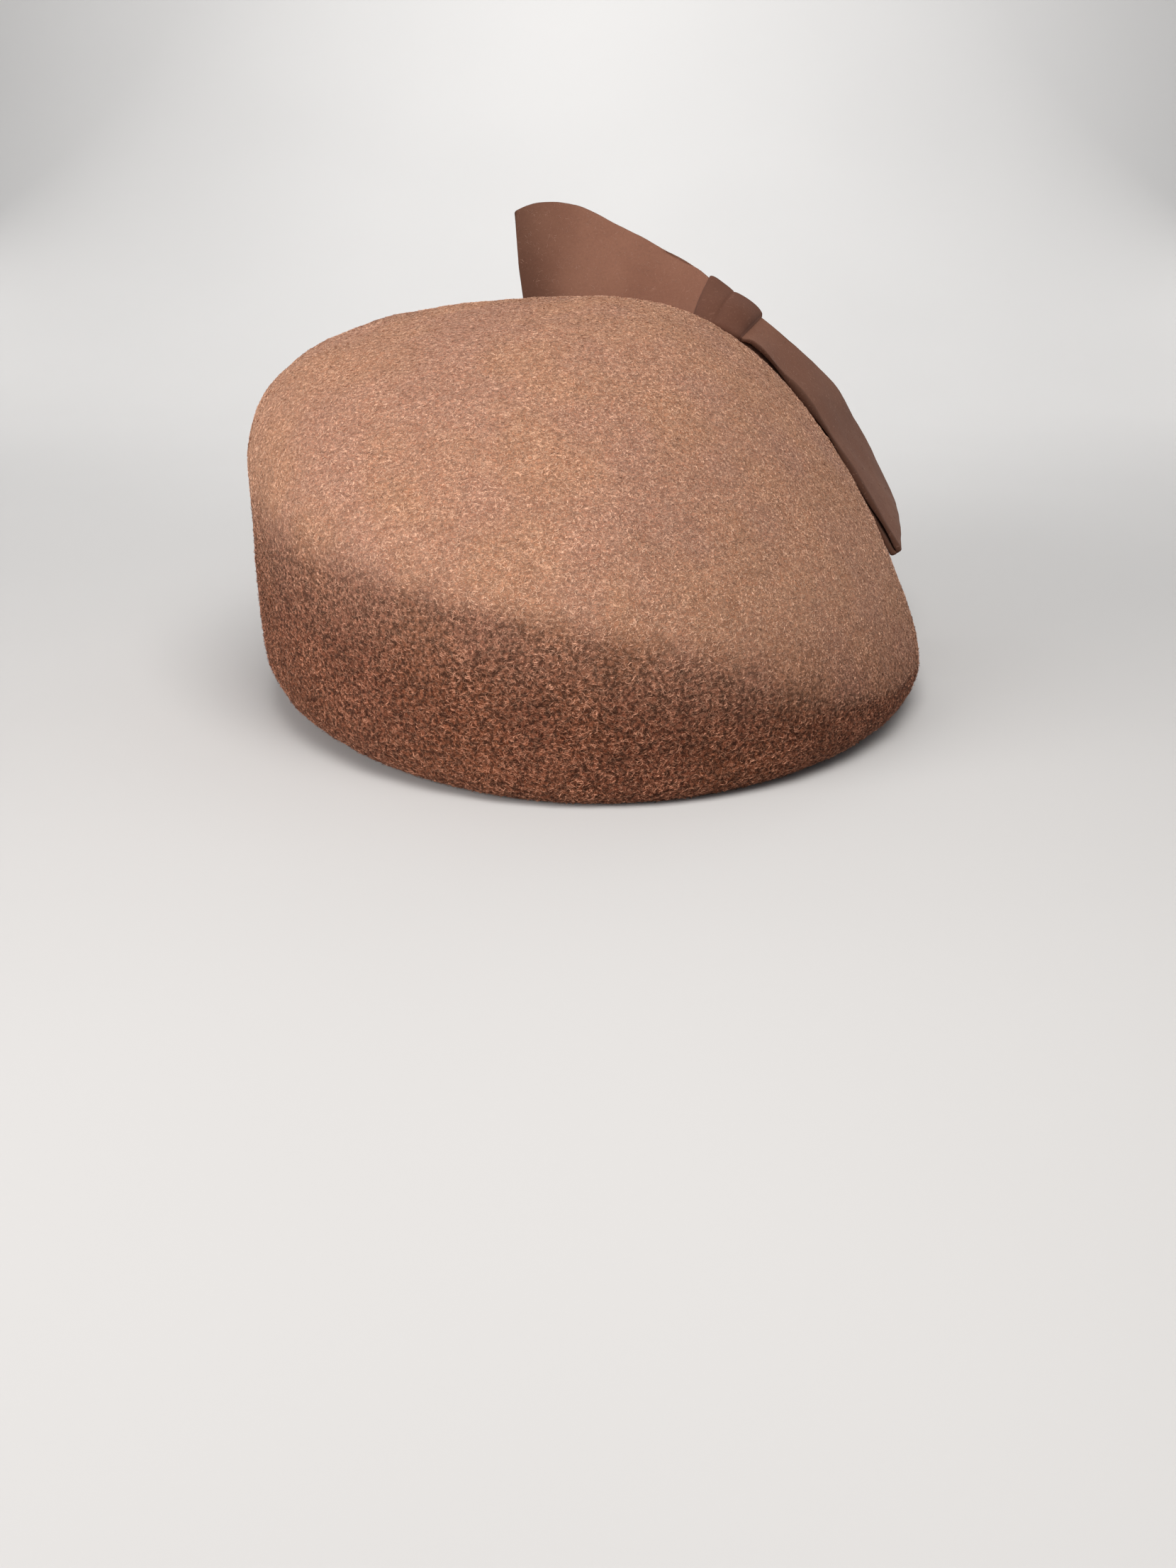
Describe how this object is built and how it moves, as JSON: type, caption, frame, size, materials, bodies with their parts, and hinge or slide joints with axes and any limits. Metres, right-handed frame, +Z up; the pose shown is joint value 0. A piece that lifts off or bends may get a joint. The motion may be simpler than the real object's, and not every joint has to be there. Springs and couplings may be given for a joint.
{
  "type": "pillbox hat with a bow",
  "caption": "Felt pillbox hat with a hollow shaped crown, tall at one side and low at the other, and a looped felt bow and knot on the back of its low shoulder.",
  "frame": {"origin": "bottom centre of the hat's bounding box, on the level felt that it rests on", "axes": "+Z up, -Y towards the front of the hat, +X towards its low side as seen from the front"},
  "size_m": [0.2362, 0.236, 0.1589],
  "materials": {
    "crown_felt": "matte heathered wool felt with a fine fuzz, terracotta brown",
    "bow_felt": "smooth dense felt, matte, a darker brown",
    "knot_felt": "smooth dense felt, matte, a darker brown"
  },
  "bodies": {
    "root": {"crown": "crown_felt", "bow_loops": "bow_felt", "bow_knot": "knot_felt"}
  },
  "joints": []
}
